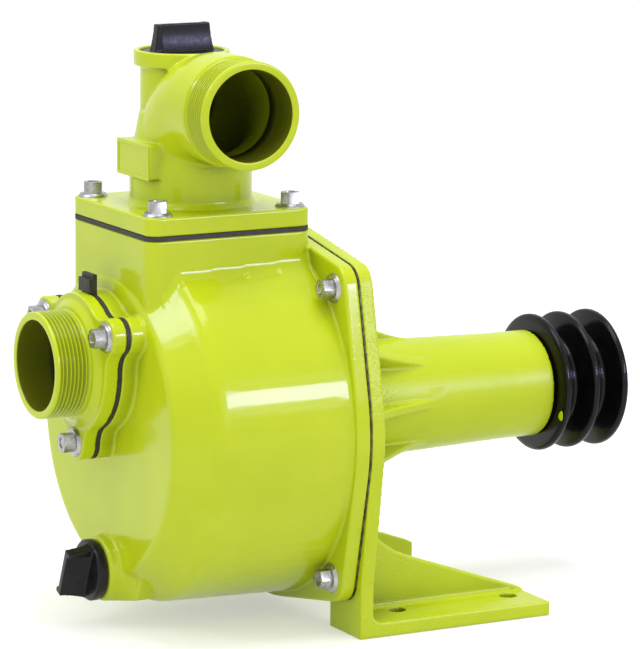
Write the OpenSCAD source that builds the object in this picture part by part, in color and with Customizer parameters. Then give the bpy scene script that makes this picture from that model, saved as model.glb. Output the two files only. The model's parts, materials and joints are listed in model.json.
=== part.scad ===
// Belt-driven self-priming pump with a two-groove pulley.
// X runs along the shaft towards the pulley, Z is up, and the origin is the
// centre of the four foot holes on the underside of the feet.

/* [Foot and bracket] */
// Gap between the joint flange and the ground the feet stand on
ground_gap = 6.5; // [5:0.5:14]
// Length of each foot behind the joint face
foot_l = 123; // [118:1:140]
// Distance from the centre plane to the outer edge of a foot
foot_reach = 96.5; // [94:0.5:104]
// Width of each foot
foot_w = 35.8; // [32:0.2:40]
// Thickness of each foot
foot_t = 8; // [6:0.5:11]
// Thickness of the upright web on each foot
web_t = 5.5; // [4:0.5:7]
// Height of the web where its straight edge would meet the plate
web_h = 50; // [40:1:56]
// Radius of the curve between the web and the plate
web_sweep_r = 60; // [40:1:62]
// Distance from the end of a foot to its rear hole
foot_hole_end = 14.5; // [11:0.5:30]
// Distance from the outer edge of a foot to its holes
foot_hole_inset = 23; // [21:0.5:24]
// Distance from the joint face to the first foot holes
foot_hole_x = 35.5; // [30:0.5:40]
// Diameter of a foot hole
foot_hole_d = 10; // [8:0.5:12]
// Thickness of the bracket plate
plate_t = 8; // [6:0.5:10]
// Wall of the bearing tube
tube_wall = 5.15; // [4.5:0.05:8]
// How much the tube's radius grows from its straight part to the plate
tube_flare = 3.9; // [0:0.1:5]
// Distance from the joint face to the end of the bearing tube
tube_end_x = 164; // [162:0.5:175]
// Number of ribs round the bearing tube
rib_n = 8; // [4:1:8]
// Thickness of a rib
rib_t = 5; // [3:0.5:6]
// Distance from the joint face to where a rib runs out on the tube
rib_end_x = 84; // [60:1:100]
// Height of a rib above the tube at the plate
rib_h = 31; // [20:1:40]

/* [Joint between casing and bracket] */
// How far the round part of the joint flange stands out from the barrel
flange_lip = 3.4; // [3:0.1:5]
// How far the joint bolts lie outside the round part of the flange
joint_bolt_out = 5.5905; // [5:0.0005:7]
// Angle of the joint bolts above and below the level of the shaft
joint_bolt_angle = 46.1823; // [45:0.0001:48]
// Radius of the ear round a joint bolt
joint_ear_r = 13.5; // [11:0.5:15]
// Thickness of the casing flange
flange_t = 8.5; // [7:0.5:11]
// Thickness of the joint gasket
joint_gasket_t = 1; // [0.5:0.1:1.5]
// How far the casing's back closes in around its opening
opening_lip = 4.5; // [1.5:0.5:5]

/* [Casing] */
// Outer radius of the barrel at its front end
barrel_r = 101.5; // [100:0.5:102]
// How much wider the barrel grows towards the joint
barrel_draft = 2.6; // [0.5:0.1:3]
// Distance from the joint face to the front disc
casing_l = 109.5; // [108:0.5:114]
// Length of the conical band behind the front disc
band_l = 20; // [16:0.5:26]
// How much smaller the front disc is than the barrel
disc_inset = 19.5; // [17:0.5:24]
// Wall of the casing
casing_wall = 6; // [5:0.5:7]
// Distance from the joint face to the back of the square discharge neck
neck_back = 7.3; // [6.5:0.1:9]
// How far the front of the discharge neck lies behind the front disc
neck_front = 1.6; // [0.4:0.1:3]
// Corner radius of the discharge neck
neck_corner_r = 7.5; // [5:0.5:10]
// How far the neck's top stands above the joint flange
neck_rise = 2.1; // [1.5:0.1:8]
// Radius of the opening down through the neck
neck_bore_r = 34; // [30:0.5:37]
// Radius of the fillet between the neck and the barrel
neck_fillet_r = 9; // [6:0.5:12]

/* [Discharge elbow] */
// Thickness of the elbow flange
elbow_flange_t = 10.3; // [9:0.5:13]
// Thickness of the discharge gasket
elbow_gasket_t = 2.4; // [1.5:0.1:3]
// Distance from the side of the elbow flange to its bolts
elbow_bolt_inset = 9.5; // [8.9:0.1:11]
// How much wider the riser is than the bend, in radius
riser_swell = 3.4; // [2:0.1:4]
// How much wider the bend is than its thread, in radius
bend_swell = 1; // [0.2:0.1:2]
// How far the bend's centre line swings clear of the riser
bend_room = 1.8; // [1:0.1:4]
// Height of the outlet centre above the neck
outlet_rise = 68.7; // [66:0.1:74]
// Distance from the elbow centre to the outlet mouth
outlet_reach = 72.5; // [68:0.5:80]
// Wall of both spouts at their threads
spout_wall = 4.6; // [3.6:0.1:5.5]
// Outer radius of the thread on both spouts
spout_thread_r = 29.8; // [29:0.1:30.2]
// Length of the thread on the outlet
outlet_thread_l = 20.5; // [16:0.5:24]
// Sideways distance from the elbow centre to the priming neck
prime_y = 11.6; // [8:0.2:14]
// Height of the priming collar's top above the outlet centre
prime_rise = 28; // [26:0.5:34]
// How much wider the priming neck is than its plug's head, in radius
prime_neck_swell = 0.2; // [0.1:0.1:1]
// Wall of the priming collar around its plug's head
prime_collar_wall = 3.2; // [2.8:0.1:5]
// Height of the priming collar
prime_collar_h = 8.7; // [7:0.1:11]
// Half width of the bare label pad on the riser
pad_half_w = 19.7; // [16:0.1:21]
// Height of the bare label pad
pad_h = 19.8; // [16:0.2:22]
// Height of the pad's centre above the neck
pad_rise = 38.4; // [36:0.2:40]

/* [Suction flange] */
// Height of the suction centre above the shaft
suction_h = 36.9; // [35:0.1:39]
// How far the seat of the valve gasket stands in front of the disc
valve_stand = 9.2; // [7.5:0.1:12]
// Thickness of the valve gasket
valve_gasket_t = 2.5; // [2.2:0.1:3]
// Thickness of the suction flange
suction_flange_t = 8; // [6:0.5:10]
// Length of the hub between the suction flange and its thread
suction_hub_l = 3.5; // [2:0.5:5]
// Length of the thread on the suction spout
suction_thread_l = 20.5; // [16:0.5:24]
// Width of the suction flange around its thread
suction_face_w = 9; // [8:0.1:11]
// How far the suction bolts lie outside the round part of the flange
suction_bolt_out = 6.1; // [5.5:0.1:8]
// Radius of the ear round a suction bolt
suction_ear_r = 10.4; // [9:0.1:12]

/* [Fasteners] */
// Thread diameter of the flange bolts
bolt_d = 8; // [6:1:8]
// Width across the flats of a bolt head
bolt_hex_af = 10; // [8:0.5:13]
// Height of the hexagon of a bolt head
bolt_hex_h = 6.3; // [4:0.1:8]
// Diameter of the round flange under a bolt head
bolt_rim_d = 17; // [14:0.5:18]
// Thickness of the round flange under a bolt head
bolt_rim_t = 1.9; // [1.2:0.1:2.5]

/* [Screw plugs] */
// Radius of the priming plug's head
prime_head_r = 23; // [22:0.1:23.4]
// Radius of the drain plug's head
drain_head_r = 17.3; // [16:0.1:19]
// Radius of the drain boss
drain_boss_r = 18.5; // [17:0.5:20]
// Distance from the barrel's outside in to the centre of the drain plug
drain_inset = 19.5; // [19:0.5:22]
// How far the drain boss stands in front of the disc
drain_boss_l = 6.5; // [5:0.5:9]
// Thread pitch of both plugs
plug_pitch = 3; // [2:0.5:4]
// Length of the threaded shank of both plugs
plug_shank_l = 12; // [9:1:14]
// Height of a plug's wing
wing_h = 15.4; // [12:0.1:20]
// Thickness of a plug's wing
wing_t = 8; // [6:0.5:10]

/* [Pump inside] */
// Outer radius of the impeller
impeller_r = 50; // [46:0.5:51]
// Number of impeller blades
blade_n = 5; // [3:1:6]
// Thickness of an impeller blade
blade_t = 4; // [3:0.5:5]
// Depth of the impeller blades
blade_h = 16; // [12:0.5:18]
// Gap between the blades and the volute's front wall
blade_gap = 0.8; // [0.5:0.1:1.5]
// Gap between the impeller and the start of the volute spiral
spiral_gap = 5; // [4:0.5:7]
// Distance from the casing's opening to the widest point of the spiral
spiral_inset = 21; // [20:0.5:25]
// Wall of the volute
volute_wall = 4.5; // [3.5:0.5:5]
// Bore radius of the volute's eye
eye_r = 20; // [18:0.5:22]
// Width of the valve gasket's seat between its bore and its round edge
seat_w = 7.3; // [6:0.1:7.6]
// Gap between the end of the suction chamber and the volute
eye_gap = 6.9; // [5:0.1:9]

/* [Shaft and bearings] */
// Shaft diameter in the bearings
journal_d = 25; // [24:0.5:25.5]
// Shaft diameter at the shaft seal
seal_shaft_d = 20; // [18:0.5:21]
// Shaft diameter in the impeller
nose_d = 18; // [16:0.5:18]
// Thread diameter of the impeller nut
nose_thread_d = 14; // [12:0.5:15]
// Shaft diameter in the pulley
drive_d = 22; // [20:0.5:23]
// Outer diameter of a ball bearing
bearing_od = 52; // [51:0.5:53]
// Width of a ball bearing
bearing_w = 15; // [14:0.5:16]
// Distance from the joint face to the front bearing
front_bearing_x = 40; // [38:0.5:44]
// Distance from the end of the tube in to the rear bearing
rear_bearing_inset = 24; // [24:0.5:40]
// Number of balls in a bearing
ball_n = 9; // [7:1:9]
// Diameter of a ball
ball_d = 7.2; // [6.8:0.1:7.4]

/* [Pulley] */
// Outer diameter of the pulley
pulley_d = 80.8; // [76:0.2:90]
// Width of the crest between two belt grooves
groove_land = 3.8; // [3.4:0.1:4.6]
// Width of a belt groove at the rim
groove_w = 15.6; // [14.5:0.1:16.4]
// Depth of a belt groove
groove_depth = 13.5; // [12:0.5:15]
// Angle between the walls of a groove
groove_angle = 34; // [32:1:38]
// Gap between the tube's end and the pulley
pulley_gap = 1.2; // [1:0.1:6]
// Wall of the pulley's hub around the shaft
hub_wall = 6; // [6:0.5:9]
// Thickness of the pulley's web
pulley_web_t = 9; // [7:0.5:11]
// Wall of the pulley's rim under the belt grooves
pulley_rim_wall = 5; // [4:0.5:7]

/* [Hidden] */
lime = [0.72, 0.81, 0.08];
zinc = [0.72, 0.73, 0.74];
steel = [0.55, 0.56, 0.58];
rubber = [0.06, 0.06, 0.06];
plastic = [0.05, 0.05, 0.06];
bronze = [0.70, 0.50, 0.25];
iron = [0.42, 0.43, 0.44];
round_fn = 96;
small_fn = 48;
hull_fn = 32;
corner_n = 6;
// Clearance of a bolt in its hole, and of a tapped thread
bolt_gap = 0.15;
// Running clearance between pieces that turn or swing
run_gap = 0.3;
// Sliding fit of a ring on its seat
fit_gap = 0.03;
// Small overlap that keeps joined shapes in one solid
bite = 0.5;

foot_hole_dx = foot_l - foot_hole_x - foot_hole_end;
foot_centre_x = foot_hole_x + foot_hole_dx / 2;
foot_hole_y = foot_reach - foot_hole_inset;
foot_inner_y = foot_reach - foot_w;
flange_r = barrel_r + barrel_draft + flange_lip;
shaft_h = flange_r + ground_gap;
joint_bolt_at_r = flange_r + joint_bolt_out;
tube_r = bearing_od / 2 + tube_wall;
opening_r = barrel_r - casing_wall - opening_lip;
disc_r = barrel_r - disc_inset;
drain_drop = barrel_r - drain_inset;
neck_half = (casing_l - neck_front - neck_back) / 2;
neck_x = neck_back + neck_half;
neck_h = flange_r + neck_rise;
neck_top = shaft_h + neck_h;
elbow_base = neck_top + elbow_gasket_t;
elbow_top = elbow_base + elbow_flange_t;
elbow_bolt_off = neck_half - elbow_bolt_inset;
spout_bore_r = spout_thread_r - spout_wall;
bend_tube_r = spout_thread_r + bend_swell;
riser_r = bend_tube_r + riser_swell;
bend_r = riser_r + bend_room;
outlet_z = neck_top + outlet_rise;
prime_top_z = outlet_z + prime_rise;
prime_neck_r = prime_head_r + prime_neck_swell;
prime_recess_r = prime_head_r + 2 * run_gap;
prime_collar_r = prime_recess_r + prime_collar_wall;
suction_z = shaft_h + suction_h;
suction_flange_r = spout_thread_r + suction_face_w;
suction_bolt_r = suction_flange_r + suction_bolt_out;
chamber_r = suction_flange_r - seat_w;
rear_bearing_x = tube_end_x - rear_bearing_inset;
pulley_x = tube_end_x + pulley_gap;
groove_pitch = groove_w + groove_land;
bolt_hole_r = bolt_d / 2 + bolt_gap;

// Frame helpers

// Puts distances from the joint face and heights from the feet into the part's frame.
module framed() {
  translate([-foot_centre_x, 0, 0]) children();
}

// Extrudes a (Y, Z) outline along X from x0 to x1.
module along_x(x0, x1) {
  translate([x0, 0, 0]) rotate([90, 0, 90]) linear_extrude(x1 - x0) children();
}

// Extrudes an (X, Z) outline along Y from y0 to y1.
module along_y(y0, y1) {
  translate([0, y1, 0]) rotate([90, 0, 0]) linear_extrude(y1 - y0) children();
}

// A cylinder along X, on the shaft line unless y and z say otherwise.
module rod(x0, x1, r, y = 0, z = shaft_h, fn = round_fn) {
  translate([x0, y, z]) rotate([0, 90, 0]) cylinder(h = x1 - x0, r = r, $fn = fn);
}

// Turns a (radius, X) outline about the shaft line.
module turned(y = 0, z = shaft_h, fn = round_fn) {
  translate([0, y, z]) rotate([0, 90, 0]) rotate_extrude($fn = fn) children();
}

function unit(v) = v / norm(v);

// The arc that rounds the corner b between a and c with radius r.
function corner_arc(a, b, c, r) =
  let (
    u = unit(a - b),
    v = unit(c - b),
    half = acos(max(-1, min(1, u * v))) / 2,
    centre = b + unit(u + v) * r / sin(half),
    start = b + u * r / tan(half) - centre,
    from = atan2(start[1], start[0]),
    turn = (u[0] * v[1] - u[1] * v[0] > 0 ? -1 : 1) * (180 - 2 * half)
  )
  [for (i = [0:corner_n]) centre + r * [cos(from + turn * i / corner_n), sin(from + turn * i / corner_n)]];

// An outline with rounded corners, from points [x, y, radius].
function rounded(p) =
  let (n = len(p), q = [for (k = p) [k[0], k[1]]])
  [for (i = [0:n - 1])
    each (p[i][2] > 0 ? corner_arc(q[(i + n - 1) % n], q[i], q[(i + 1) % n], p[i][2]) : [q[i]])];

// Flanges and their bolts

joint_bolts_at = [for (s = [-1, 1], t = [-1, 1])
  joint_bolt_at_r * [s * cos(joint_bolt_angle), t * sin(joint_bolt_angle)]];
elbow_bolts_at = [for (s = [-1, 1], t = [-1, 1]) [s * elbow_bolt_off, t * elbow_bolt_off]];
suction_bolts_at = [for (a = [27, 153, 270]) suction_bolt_r * [cos(a), sin(a)]];

module joint_outline() {
  hull() {
    circle(flange_r, $fn = round_fn);
    for (p = joint_bolts_at) translate(p) circle(joint_ear_r, $fn = hull_fn);
  }
}

module elbow_outline() {
  e = neck_half;
  polygon(rounded([for (s = [[-e, -e], [e, -e], [e, e], [-e, e]]) [s[0], s[1], neck_corner_r]]));
}

// A round flange with three ears, with its inner corners filled to a soft radius.
module suction_outline() {
  blend = 14;
  offset(r = -blend, $fn = small_fn) offset(r = blend, $fn = small_fn) union() {
    circle(suction_flange_r, $fn = small_fn);
    for (p = suction_bolts_at) translate(p) circle(suction_ear_r, $fn = hull_fn);
  }
}

// A hexagon bolt with a round flange, its seat at z = 0 and its shank going down.
module flange_bolt(shank_l) {
  cylinder(h = bolt_rim_t, d1 = bolt_rim_d, d2 = bolt_rim_d - 2.4, $fn = small_fn);
  difference() {
    cylinder(h = bolt_rim_t + bolt_hex_h, d = bolt_hex_af / cos(30), $fn = 6);
    translate([0, 0, bolt_rim_t + bolt_hex_h - 0.8]) cylinder(h = 2, d = bolt_hex_af * 0.6, $fn = small_fn);
  }
  translate([0, 0, -shank_l]) cylinder(h = shank_l + bite, d = bolt_d, $fn = small_fn);
}

// Bolt whose head faces -X and whose seat is at x.
module bolt_from_front(x, y, z, shank_l) {
  translate([x, y, z]) rotate([0, -90, 0]) rotate([0, 0, 30]) flange_bolt(shank_l);
}

// Casing

disc_x = -casing_l;
valve_x = disc_x - valve_stand;
flange_front_x = -joint_gasket_t - flange_t;
drain_z = shaft_h - drain_drop;
drain_face_x = disc_x - drain_boss_l;
drain_thread_r = drain_head_r - 7.3;
prime_thread_r = prime_head_r - 5;
disc_edge_r = 7;
band_edge_r = 12;

function barrel_profile(inset) =
  rounded([
    [0, disc_x + inset, 0],
    [disc_r - inset / 2, disc_x + inset, disc_edge_r],
    [barrel_r - inset, disc_x + band_l + inset / 2, band_edge_r],
    [barrel_r + barrel_draft - inset, -joint_gasket_t + inset / casing_wall, 0],
    [0, -joint_gasket_t + inset / casing_wall, 0]]);

// Slice of the fillet between one side of the neck and a barrel of radius r.
module neck_fillet_slice(side, r, x0, x1) {
  f = neck_fillet_r;
  cy = neck_half + f;
  cz = sqrt(pow(r + f, 2) - cy * cy);
  touch = cz * r / (r + f);
  along_x(x0, x1)
    translate([0, shaft_h])
      difference() {
        polygon([
          [side * (neck_half - bite), cz + bite],
          [side * (neck_half + 0.02), cz + 0.02],
          [side * cy * r / (r + f), touch],
          [side * (neck_half - bite), touch - 4]]);
        translate([side * cy, cz]) circle(f + 0.03, $fn = small_fn);
      }
}

// Fillet along one side of the neck, following the conical band at its front.
module neck_side_fillet(side) {
  band_end = disc_x + band_l;
  start = -neck_x - neck_half + neck_corner_r;
  slices = 6;
  width = (band_end - start) / slices;
  for (i = [0:slices - 1])
    let (x = start + i * width, mid = x + width / 2)
    let (r = barrel_r - (band_end - mid) / band_l * (barrel_r - disc_r))
    neck_fillet_slice(side, r, x, x + width + 0.01);
  for (i = [0:3])
    let (x = band_end + i * (flange_front_x - band_end) / 4, run = (flange_front_x - band_end) / 4)
    neck_fillet_slice(side, barrel_r + barrel_draft * (i + 0.5) / 4, x, x + run + 0.01);
}

// Drain boss with a wide flare where it grows out of the front disc.
module drain_boss() {
  flare = 11;
  intersection() {
    turned(z = drain_z, fn = small_fn) polygon(concat(
      [[0, disc_x + band_l], [drain_boss_r + flare, disc_x + band_l]],
      [for (a = [0:15:90]) [drain_boss_r + flare - flare * sin(a), drain_face_x + 1.5 + flare * cos(a)]],
      [[drain_boss_r, drain_face_x + 1], [drain_boss_r - 1, drain_face_x], [0, drain_face_x]]));
    rod(drain_face_x - 1, -band_l, barrel_r - 2.2);
  }
}

module chamber_outline(r) {
  circle_at = [[0, suction_z], [0, shaft_h]];
  for (p = circle_at) translate(p) circle(r, $fn = small_fn);
  translate([-r, shaft_h]) square([2 * r, suction_h]);
}

valve_pocket_w = 15;
hinge_z = suction_z + chamber_r + 0.5;
hinge_x = valve_x - valve_gasket_t / 2;

module casing() {
  eye_hole_r = eye_r + volute_wall + fit_gap;
  bolt_bore_l = 22;
  color(lime) framed() difference() {
    union() {
      difference() {
        union() {
          turned() polygon(barrel_profile(0));
          along_x(flange_front_x, -joint_gasket_t) translate([0, shaft_h]) joint_outline();
          translate([-neck_x, 0, shaft_h]) linear_extrude(neck_h) elbow_outline();
          for (side = [-1, 1]) neck_side_fillet(side);
          along_x(valve_x, disc_x + 12) translate([0, suction_z]) suction_outline();
          drain_boss();
        }
        turned() polygon(barrel_profile(casing_wall));
        translate([-neck_x, 0, shaft_h]) cylinder(h = neck_h + 1, r = neck_bore_r, $fn = round_fn);
      }
      along_x(disc_x + 2, chamber_end_x + volute_wall) chamber_outline(chamber_r + 4);
    }
    rod(valve_x - 1, disc_x + casing_wall + 1, chamber_r, z = suction_z, fn = small_fn);
    along_x(disc_x + casing_wall, chamber_end_x) chamber_outline(chamber_r);
    rod(chamber_end_x - 1, chamber_end_x + volute_wall + 1, eye_hole_r);
    translate([valve_x - 1, -valve_pocket_w / 2, suction_z])
      cube([10, valve_pocket_w, hinge_z + 4 - suction_z]);
    rod(flange_front_x - 20, 1, opening_r);
    rod(drain_face_x - 1, disc_x + 1.5 * band_l, drain_thread_r + bolt_gap, z = drain_z, fn = small_fn);
    for (p = joint_bolts_at)
      rod(flange_front_x - 1, 0, bolt_hole_r, y = p[0], z = shaft_h + p[1], fn = small_fn);
    for (p = elbow_bolts_at)
      translate([p[0] - neck_x, p[1], neck_top - bolt_bore_l])
        cylinder(h = bolt_bore_l + 1, r = bolt_hole_r, $fn = small_fn);
    for (p = suction_bolts_at)
      rod(valve_x - 1, valve_x + suction_shank_l - suction_flange_t - valve_gasket_t + 1, bolt_hole_r,
        y = p[0], z = suction_z + p[1], fn = small_fn);
  }
}

module joint_gasket() {
  color(rubber) framed() difference() {
    along_x(-joint_gasket_t, 0) translate([0, shaft_h]) joint_outline();
    rod(-joint_gasket_t - 1, 1, opening_r);
    for (p = joint_bolts_at)
      rod(-joint_gasket_t - 1, 1, bolt_hole_r, y = p[0], z = shaft_h + p[1], fn = small_fn);
  }
}

joint_shank_l = flange_t + joint_gasket_t + plate_t + 1;

module joint_bolts() {
  color(zinc) framed() for (p = joint_bolts_at)
    bolt_from_front(flange_front_x, p[0], shaft_h + p[1], joint_shank_l);
}

// Bearing bracket

spigot_r = impeller_r + 2.6;
spigot_h = 4;
seat_pocket_r = 17;
seat_pocket_x = 6;
splash_r = 18;
front_seal_x = front_bearing_x - 12;
front_seal_w = 7;
front_seal_r = 20;
shoulder_r = bearing_od / 2 - 4;
bearing_bore_r = bearing_od / 2 + fit_gap;
circlip_t = 1.6;
rear_seal_w = 7;
drip_hole_d = 6;
// Height where the plate's sides begin to draw in under the feet's webs
plate_low_z = 30;

module plate_outline() {
  hull() {
    translate([0, shaft_h]) circle(flange_r, $fn = round_fn);
    for (p = joint_bolts_at) translate([p[0], shaft_h + p[1]]) circle(joint_ear_r, $fn = hull_fn);
    translate([-foot_reach, plate_low_z]) square([2 * foot_reach, plate_low_z]);
  }
  for (side = [-1, 1])
    translate([side * (foot_reach - foot_w / 2) - foot_w / 2, 0]) square([foot_w, plate_low_z + 4]);
}

// The straight and swept upper edge of a foot's web.
module web_outline() {
  end_h = foot_t + 1.4;
  drop = (web_h - end_h) / (foot_l - plate_t);
  tilt = atan(drop);
  sweep_x = plate_t + web_sweep_r;
  sweep_z = web_h - drop * web_sweep_r + web_sweep_r / cos(tilt);
  polygon(concat(
    [[plate_t - bite, 0], [foot_l, 0], [foot_l, foot_t + 0.8],
      [foot_l - 1.5, end_h + 0.2], [foot_l - 4, end_h + 4 * drop]],
    [for (i = [0:8])
      let (a = 270 - tilt - i / 8 * (90 - tilt))
      [sweep_x + web_sweep_r * cos(a), sweep_z + web_sweep_r * sin(a)]],
    [[plate_t - bite, sweep_z]]));
}

module foot(side) {
  fillet = 6;
  side_fillet = 3.5;
  near_y = min(side * foot_inner_y, side * foot_reach);
  web_near_y = min(side * foot_inner_y, side * (foot_inner_y + web_t));
  web_mid_y = foot_inner_y + web_t + side_fillet / 2 - bite / 2;
  translate([0, near_y, 0]) cube([foot_l, foot_w, foot_t]);
  along_y(web_near_y, web_near_y + web_t) web_outline();
  along_y(near_y, near_y + foot_w)
    difference() {
      translate([plate_t - bite, foot_t - bite]) square(fillet + bite);
      translate([plate_t + fillet, foot_t + fillet]) circle(fillet + 0.02, $fn = small_fn);
    }
  along_x(plate_t - bite, foot_l - 9)
    difference() {
      translate([side * web_mid_y - (side_fillet + bite) / 2, foot_t - bite]) square(side_fillet + bite);
      translate([side * (foot_inner_y + web_t + side_fillet), foot_t + side_fillet])
        circle(side_fillet + 0.02, $fn = small_fn);
    }
}

flare_end_x = rear_bearing_x;

// Outer radius of the bearing tube at a distance x from the joint face.
function tube_r_at(x) = tube_r + tube_flare * max(0, flare_end_x - x) / (flare_end_x - plate_t);

module rib(angle) {
  reach = rib_end_x - plate_t;
  foot_r = tube_r - 3;
  translate([0, 0, shaft_h]) rotate([angle, 0, 0])
    along_y(-rib_t / 2, rib_t / 2) polygon(concat(
      [[plate_t - bite, foot_r], [rib_end_x, foot_r]],
      [for (s = [1:-0.1:0])
        let (x = plate_t + reach * s)
        [x, tube_r_at(x) - 0.2 + rib_h * pow(1 - s, 1.35)]],
      [[plate_t - bite, tube_r_at(plate_t) - 0.2 + rib_h]]));
}

module bearing_bracket() {
  color(lime) framed() difference() {
    union() {
      along_x(0, plate_t) plate_outline();
      for (side = [-1, 1]) foot(side);
      turned() polygon([[0, plate_t - bite], [tube_r_at(plate_t - bite), plate_t - bite],
        [tube_r, flare_end_x], [tube_r, tube_end_x], [0, tube_end_x]]);
      for (i = [0:rib_n - 1]) rib(i * 360 / rib_n);
      rod(-spigot_h, bite, spigot_r);
    }
    rod(-spigot_h - 1, seat_pocket_x, seat_pocket_r);
    rod(0, plate_t + 12, seal_shaft_d / 2 + 3);
    rod(plate_t + 2, front_seal_x, splash_r);
    rod(front_seal_x - bite, front_seal_x + front_seal_w, front_seal_r + fit_gap);
    rod(front_seal_x, front_bearing_x, shoulder_r);
    rod(front_bearing_x, tube_end_x + 1, bearing_bore_r);
    rod(rear_bearing_x + bearing_w, rear_bearing_x + bearing_w + circlip_t, bearing_bore_r + 1.3);
    for (side = [-1, 1])
      translate([(plate_t + 2 + front_seal_x) / 2, 0, shaft_h]) rotate([180 + side * 22.5, 0, 0])
        cylinder(h = tube_r + 2, d = drip_hole_d, $fn = small_fn);
    for (p = joint_bolts_at)
      rod(-1, plate_t + 1, bolt_hole_r, y = p[0], z = shaft_h + p[1], fn = small_fn);
    for (p = volute_screws_at)
      rod(-1, plate_t - 1.6, volute_screw_r + bolt_gap, y = p[0], z = shaft_h + p[1], fn = small_fn);
    for (s = [-1, 1], t = [0, 1])
      translate([foot_hole_x + t * foot_hole_dx, s * foot_hole_y, -1])
        cylinder(h = foot_t + 8, d = foot_hole_d, $fn = small_fn);
  }
}

// Discharge side

module discharge_gasket() {
  color(rubber) framed() translate([-neck_x, 0, neck_top]) difference() {
    linear_extrude(elbow_gasket_t) elbow_outline();
    translate([0, 0, -1]) cylinder(h = elbow_gasket_t + 2, r = neck_bore_r, $fn = round_fn);
    for (p = elbow_bolts_at)
      translate([p[0], p[1], -1]) cylinder(h = elbow_gasket_t + 2, r = bolt_hole_r, $fn = small_fn);
  }
}

// The quarter bend that turns the riser towards the outlet.
module bend(r) {
  translate([0, -bend_r, outlet_z - bend_r]) rotate([90, 0, 90])
    rotate_extrude(angle = 90, $fn = round_fn) translate([bend_r, 0]) circle(r, $fn = small_fn);
}

module outlet_rod(y0, y1, r) {
  translate([0, y1, outlet_z]) rotate([90, 0, 0]) cylinder(h = y1 - y0, r = r, $fn = round_fn);
}

prime_seat_z = prime_top_z - 6;
prime_seal_t = 1.6;
// Short overlap and tiny step where the bend runs into its straight ends
lap = 1;
step = 0.05;

module discharge_elbow() {
  bend_z = outlet_z - bend_r;
  pad_z = neck_top + pad_rise;
  taper_z = pad_z - pad_h / 2;
  riser_bore_r = riser_r - 6;
  shoulder_h = 30;
  shoulder_r = bend_tube_r - 2;
  thread_start = outlet_reach - outlet_thread_l;
  color(lime) framed() translate([-neck_x, 0, 0]) difference() {
    union() {
      translate([0, 0, elbow_base]) linear_extrude(elbow_flange_t) elbow_outline();
      translate([0, 0, elbow_base]) cylinder(h = bend_z + lap - elbow_base, r = riser_r, $fn = round_fn);
      translate([0, 0, elbow_top - bite]) cylinder(h = 3.5, r1 = riser_r + 3.2, r2 = riser_r, $fn = round_fn);
      translate([0, 0, bend_z + lap])
        cylinder(h = shoulder_h, r1 = riser_r, r2 = shoulder_r, $fn = round_fn);
      bend(bend_tube_r);
      outlet_rod(-thread_start, -bend_r + lap, bend_tube_r - step);
      outlet_rod(-outlet_reach, -thread_start, spout_thread_r);
      translate([0, prime_y, bend_z]) cylinder(h = prime_seat_z - bend_z, r = prime_neck_r, $fn = round_fn);
      translate([0, prime_y, prime_top_z - prime_collar_h])
        cylinder(h = prime_collar_h, r = prime_collar_r, $fn = round_fn);
      translate([-riser_r - 1.5, -pad_half_w, pad_z - pad_h / 2])
        cube([riser_r - 8, 2 * pad_half_w, pad_h]);
    }
    translate([0, 0, elbow_base - 1])
      cylinder(h = taper_z - elbow_base + 1, r = riser_bore_r, $fn = round_fn);
    translate([0, 0, taper_z - lap])
      cylinder(h = bend_z - taper_z + 2 * lap, r1 = riser_bore_r + step, r2 = spout_bore_r + step,
        $fn = round_fn);
    bend(spout_bore_r);
    outlet_rod(-outlet_reach - 1, -bend_r + lap, spout_bore_r + step);
    translate([0, prime_y, bend_z + 20])
      cylinder(h = prime_seat_z - bend_z, r = prime_thread_r + bolt_gap, $fn = round_fn);
    translate([0, prime_y, prime_seat_z]) cylinder(h = 10, r = prime_recess_r, $fn = round_fn);
    for (p = elbow_bolts_at)
      translate([p[0], p[1], elbow_base - 1])
        cylinder(h = elbow_flange_t + 2, r = bolt_hole_r, $fn = small_fn);
  }
}

module discharge_bolts() {
  color(zinc) framed() for (p = elbow_bolts_at)
    translate([p[0] - neck_x, p[1], elbow_top]) flange_bolt(elbow_flange_t + elbow_gasket_t + 16);
}

// Suction side

suction_seat_x = valve_x - valve_gasket_t;
suction_front_x = suction_seat_x - suction_flange_t;
suction_thread_x = suction_front_x - suction_hub_l;
suction_mouth_x = suction_thread_x - suction_thread_l;
suction_shank_l = suction_flange_t + valve_gasket_t + 12;
flap_r = spout_bore_r + 2;
tongue_w = 12;
tongue_r = valve_gasket_t / 2 - run_gap;

module valve_gasket() {
  tab_w = 14;
  tab_z = suction_z + suction_flange_r - 2;
  color(rubber) framed() difference() {
    union() {
      along_x(suction_seat_x, valve_x) translate([0, suction_z]) suction_outline();
      translate([suction_seat_x - 2.2, -tab_w / 2, tab_z + 2.4])
        cube([valve_gasket_t + 2.2, tab_w, 7.5]);
      translate([suction_seat_x, -tab_w / 2, tab_z]) cube([valve_gasket_t, tab_w, 12.5]);
    }
    rod(suction_seat_x - 1, valve_x + 1, chamber_r, z = suction_z);
    translate([suction_seat_x - 1, -tongue_w / 2 - run_gap, suction_z])
      cube([valve_gasket_t + 2, tongue_w + 2 * run_gap, hinge_z - suction_z + tongue_r + run_gap]);
    for (p = suction_bolts_at)
      rod(suction_seat_x - 1, valve_x + 1, bolt_hole_r, y = p[0], z = suction_z + p[1], fn = small_fn);
  }
}

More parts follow.
